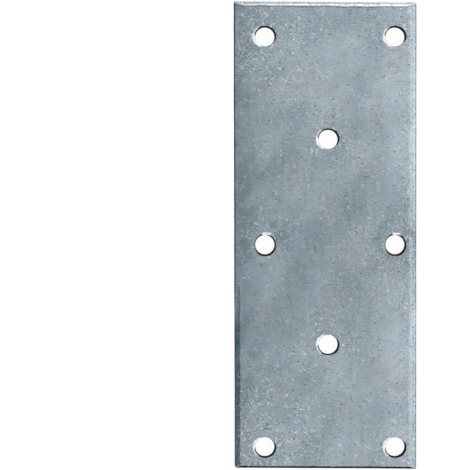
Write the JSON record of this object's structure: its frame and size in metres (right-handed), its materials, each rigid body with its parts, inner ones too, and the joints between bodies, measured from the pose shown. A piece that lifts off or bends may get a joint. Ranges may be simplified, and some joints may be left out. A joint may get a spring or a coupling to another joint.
{
  "type": "mending plate",
  "caption": "Flat rectangular galvanised steel plate with punched round screw holes, for joining or mending timber.",
  "frame": {"origin": "centre of the back face, which the plate lies on", "axes": "+X towards the right edge and +Y towards the top end, as seen from the front; +Z out of the front face"},
  "size_m": [0.045, 0.115, 0.0025],
  "materials": {
    "zinc_coated_steel": "satin zinc, mottled blue grey"
  },
  "bodies": {
    "root": {"mending_plate": "zinc_coated_steel"}
  },
  "joints": []
}
